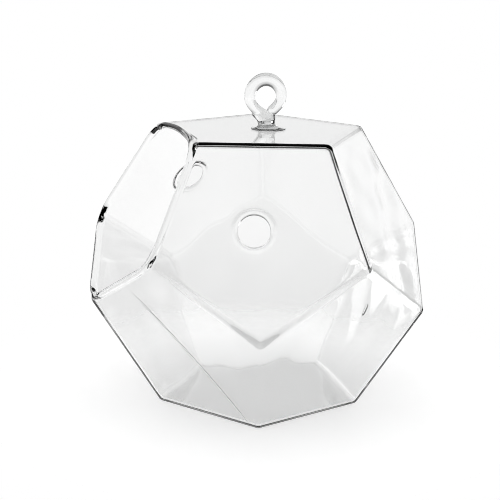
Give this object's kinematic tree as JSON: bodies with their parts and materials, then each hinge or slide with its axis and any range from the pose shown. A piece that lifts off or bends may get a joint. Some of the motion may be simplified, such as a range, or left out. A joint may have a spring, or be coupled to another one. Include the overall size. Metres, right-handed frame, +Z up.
{
  "type": "hanging glass terrarium",
  "caption": "Faceted clear glass hanging planter with an open side mouth, small air holes, a flat base and a solid glass loop fused to the top.",
  "frame": {"origin": "centre of the flat floor that the globe stands on", "axes": "+Z up through the hanging loop, -Y out of the mouth, +X to the right seen from inside the mouth looking back"},
  "size_m": [0.1352, 0.1438, 0.139],
  "materials": {
    "blown_glass": "clear blown glass, fire-polished, faintly wavy from the mould",
    "solid_glass": "clear solid glass rod, fire-polished"
  },
  "bodies": {
    "root": {"glass_body": "blown_glass", "loop_foot": "solid_glass", "hanging_loop": "solid_glass"}
  },
  "joints": []
}
